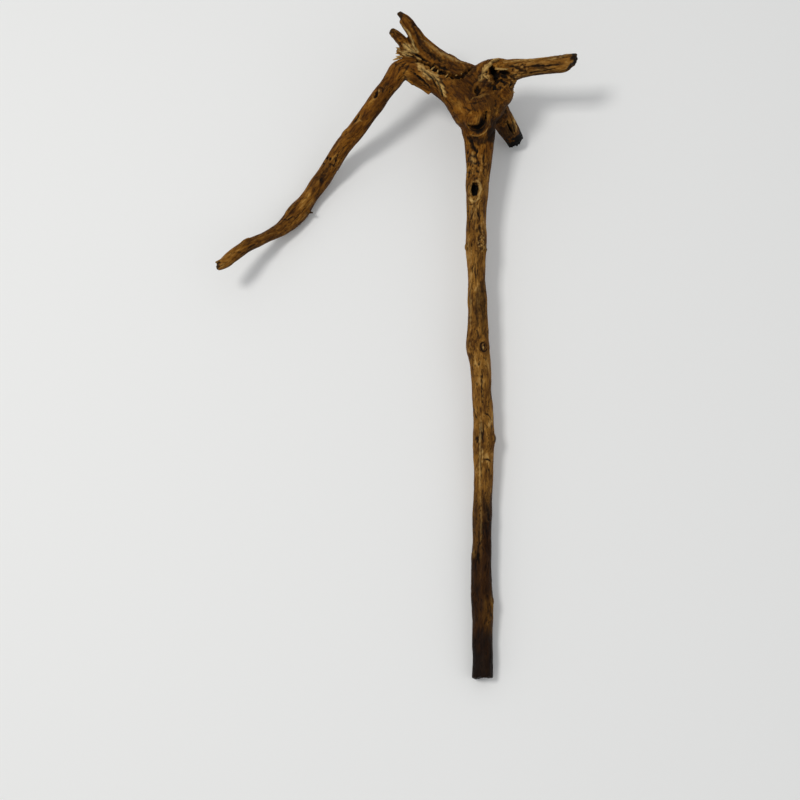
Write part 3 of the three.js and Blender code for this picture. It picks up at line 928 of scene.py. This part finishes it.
# the crown and the limbs are oily and amber, the arm less so; the stem has weathered drier
amber = eased(up_and_left + 5 * wave(co, 9.0, 35), 66, 92) + eased(15 - co[:, 0], 0, 10)
amber = np.minimum(amber, 1) * (1 - 0.7 * eased(co[:, 0], 60, 74))
amber = amber * (1 - 0.35 * eased(-20 - co[:, 0], 0, 40))

shades = {
    "amber": amber, "soot_and_shade": soot_and_shade, "pale": pale, "damp": damp,
    "on_side": on_side, "hollow_shade": hollow_shade, "worn": worn,
}
for name, values in shades.items():
    fine.attributes.new(name, "FLOAT", "POINT").data.foreach_set("value", values.astype(np.float32))
for name, values in (("main_grain", main_grain), ("side_grain", side_grain)):
    layer = fine.attributes.new(name, "FLOAT_VECTOR", "POINT")
    layer.data.foreach_set("vector", values.astype(np.float32).ravel())


# ---- Wood finish -----------------------------------------------------
# Weathered wood without bark: golden brown, with dark and light streaks along the grain, painted
# shade in every hollow, pale torn fibre and some painted highlights, blackened breaks and painted
# shade under overhangs, and a satin surface that is wetter at the foot.
LIGHT = (0.45, 0.265, 0.080, 1)
GOLD = (0.245, 0.110, 0.017, 1)
BROWN = (0.088, 0.034, 0.005, 1)
DARK = (0.016, 0.007, 0.002, 1)
TORN_AND_HIGHLIGHT = (0.60, 0.39, 0.130, 1)
BLACK = (0.004, 0.003, 0.0025, 1)
WET = (0.145, 0.108, 0.07, 1)
AMBER = (0.77, 0.63, 0.34, 1)
# from what tone to what tone each lighter wood takes over
TONES = ((0.36, 0.44, BROWN), (0.42, 0.56, GOLD), (0.53, 0.645, LIGHT))
SHEEN = 0.06
BUMP_STRENGTH = 0.7
BUMP_HEIGHT = 0.7 * MM


def wood_finish():
    material = bpy.data.materials.new("weathered_wood")
    material.use_nodes = True
    tree = material.node_tree
    nodes, links = tree.nodes, tree.links
    coat = nodes["Principled BSDF"]

    def node(kind, **settings):
        made = nodes.new(kind)
        for key, value in settings.items():
            setattr(made, key, value)
        return made

    def feed(socket, source):
        if hasattr(source, "links"):
            links.new(source, socket)
        else:
            socket.default_value = source

    def carried(name, output="Fac"):
        """What the skin carries at each place under a name."""
        return node("ShaderNodeAttribute", attribute_name=name).outputs[output]

    def sums(operation, first, second):
        made = node("ShaderNodeMath", operation=operation)
        feed(made.inputs[0], first)
        feed(made.inputs[1], second)
        return made.outputs[0]

    def times(first, second):
        return sums("MULTIPLY", first, second)

    def ranged(value, low, high, out_low=0.0, out_high=1.0):
        made = node("ShaderNodeMapRange", interpolation_type="SMOOTHSTEP")
        for socket, source in zip(made.inputs, (value, low, high, out_low, out_high)):
            feed(socket, source)
        return made.outputs[0]

    def mixed(share, first, second, blend="MIX"):
        made = node("ShaderNodeMix", data_type="RGBA", blend_type=blend)
        feed(made.inputs["Factor"], share)
        feed(made.inputs["A"], first)
        feed(made.inputs["B"], second)
        return made.outputs["Result"]

    def streaks(sizes, detail, rough):
        """Noise drawn out along the grain of whichever strand a place grew on."""
        found = []
        for name in ("main_grain", "side_grain"):
            stretch = node("ShaderNodeVectorMath", operation="DIVIDE")
            feed(stretch.inputs[0], carried(name, "Vector"))
            feed(stretch.inputs[1], sizes)
            cloud = node("ShaderNodeTexNoise")
            feed(cloud.inputs["Vector"], stretch.outputs[0])
            feed(cloud.inputs["Scale"], 1.0)
            feed(cloud.inputs["Detail"], detail)
            feed(cloud.inputs["Roughness"], rough)
            found.append(cloud.outputs["Fac"])
        joined = node("ShaderNodeMix", data_type="FLOAT")
        feed(joined.inputs["Factor"], carried("on_side"))
        feed(joined.inputs["A"], found[0])
        feed(joined.inputs["B"], found[1])
        return joined.outputs["Result"]

    blotch = streaks((7.0, 7.0, 15.0), 3.0, 0.6)
    mottle = streaks((2.4, 2.4, 6.5), 4.0, 0.65)
    thin = streaks((0.8, 0.8, 7.0), 4.0, 0.65)
    fleck = streaks((0.9, 0.9, 2.8), 2.0, 0.6)
    tone = sums("ADD", times(blotch, 0.40), times(mottle, 0.36))
    tone = sums("ADD", tone, times(thin, 0.24))

    # the streaks and the flecks, then what lies on them: wear, oil, painted shade in the hollows, torn
    # fibre and painted highlights, damp, and soot and painted shade
    colour = DARK
    for low, high, lighter in TONES:
        colour = mixed(ranged(tone, low, high), colour, lighter)
    colour = mixed(times(ranged(fleck, 0.565, 0.67), 0.75), colour, DARK)
    colour = mixed(times(carried("worn"), ranged(thin, 0.35, 0.6, 0.1, 0.5)), colour, LIGHT)
    colour = mixed(carried("amber"), colour, AMBER, "MULTIPLY")
    # painted shade: the hollows are darkened
    colour = mixed(times(carried("hollow_shade"), 0.9), colour, DARK)
    # pale torn fibre, and in places a painted highlight
    colour = mixed(times(carried("pale"), ranged(thin, 0.35, 0.6, 0.35, 1.0)), colour, TORN_AND_HIGHLIGHT)
    colour = mixed(carried("damp"), colour, WET, "MULTIPLY")
    # soot and blackened wood, and painted shade
    colour = mixed(carried("soot_and_shade"), colour, BLACK)
    feed(coat.inputs["Base Color"], colour)
    feed(coat.inputs["Specular IOR Level"], SHEEN)

    matt = ranged(thin, 0.3, 0.7, 0.5, 0.7)
    feed(coat.inputs["Roughness"], sums("SUBTRACT", matt, times(carried("damp"), 0.12)))
    bump = node("ShaderNodeBump")
    feed(bump.inputs["Strength"], BUMP_STRENGTH)
    feed(bump.inputs["Distance"], BUMP_HEIGHT)
    feed(bump.inputs["Height"], sums("ADD", thin, times(fleck, -0.5)))
    feed(coat.inputs["Normal"], bump.outputs["Normal"])
    return material


wood_coat = wood_finish()


# ---- Pieces ----------------------------------------------------------
# The skin is parted where the limbs leave the crown, and each piece gets a closed cut face there,
# so the pieces meet exactly and no joint shows. One cut parts both spurs, just past their crotch.
SPURS_PART = {"middle": (7, 172.3, 49), "ahead": (-0.63, 0.56, 0.52), "out": 3.4, "around": 13.0}
FORKS = ((STEM, 17), (LIMB, 8), (ARM, 3), (STUB, 3))
CUT_REACH = 0.84
NOSE_TIP = (47, 124, 42)
TIPS = {
    "stem": STEM[0, :3],
    "left_limb": LIMB[-1, :3],
    "upper_spur": UPPER_SPUR[-1, :3],
    "short_spur": SHORT_SPUR[-1, :3],
    "right_arm": ARM[-1, :3],
    "back_stub": STUB[-1, :3],
    "crown": NOSE_TIP,
}


def part(skin, middle, ahead, around):
    """Cuts the skin by a plane within a distance of a place, and parts it along the cut."""
    near = [f for f in skin.faces if (f.calc_center_median() - middle).length < around]
    geom = list({g for face in near for g in (face, *face.edges, *face.verts)})
    cut = bmesh.ops.bisect_plane(skin, geom=geom, plane_co=middle, plane_no=ahead)["geom_cut"]
    bmesh.ops.split_edges(skin, edges=[g for g in cut if isinstance(g, bmesh.types.BMEdge)])


def cap(skin):
    """Closes every open rim with a flat cut face, whose edge stays sharp."""
    rims = [edge for edge in skin.edges if edge.is_boundary]
    for edge in rims:
        edge.smooth = False
    faces = bmesh.ops.holes_fill(skin, edges=rims, sides=0)["faces"]
    bmesh.ops.triangulate(skin, faces=faces)


def islands(skin):
    """The number of the connected part of the skin that each of its places belongs to."""
    found = {}
    count = -1
    for seed in skin.verts:
        if seed in found:
            continue
        count += 1
        found[seed] = count
        stack = [seed]
        while stack:
            for edge in stack.pop().link_edges:
                for vert in edge.verts:
                    if vert not in found:
                        found[vert] = count
                        stack.append(vert)
    return found


def finish_piece(name, wood):
    for face in wood.faces:
        face.smooth = True
    mesh = bpy.data.meshes.new(name + "_skin")
    wood.to_mesh(mesh)
    wood.free()
    mesh.materials.append(wood_coat)
    mesh.transform(Matrix.Scale(MM, 4))
    piece = bpy.data.objects.new(name + "_skin", mesh)
    bpy.context.collection.objects.link(piece)
    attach(piece, "root")
    return piece


skin = bmesh.new()
skin.from_mesh(fine)
for route, station in FORKS:
    before, after = route[station - 1, :3], route[min(station + 1, len(route) - 1), :3]
    around = CUT_REACH * max(route[station, 3:5])
    part(skin, Vector(route[station, :3]), Vector(after - before), around)
leave = Vector(SPURS_PART["ahead"]).normalized()
part(skin, Vector(SPURS_PART["middle"]) + leave * SPURS_PART["out"], leave, SPURS_PART["around"])
cap(skin)

# each piece is the island that its tip lies on
island = islands(skin)
owner = {}
for name, tip in TIPS.items():
    nearest = min(island, key=lambda vert: (vert.co - Vector(tip)).length_squared)
    owner[name] = island[nearest]
assert len(set(owner.values())) == len(TIPS)
number = np.array([island[vert] for vert in skin.verts])
for name, mine in owner.items():
    wood = skin.copy()
    wood.verts.ensure_lookup_table()
    others = [wood.verts[k] for k in np.flatnonzero(number != mine)]
    bmesh.ops.delete(wood, geom=others, context="VERTS")
    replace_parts(finish_piece(name, wood), name)
skin.free()

# the splinters have no strand: their streaks follow their own places
grain = splinter_wood.verts.layers.float_vector.new("main_grain")
torn = splinter_wood.verts.layers.float.new("pale")
for vert in splinter_wood.verts:
    vert[grain] = vert.co
    vert[torn] = SPLINTER_PALE
finish_piece("splinters", splinter_wood)
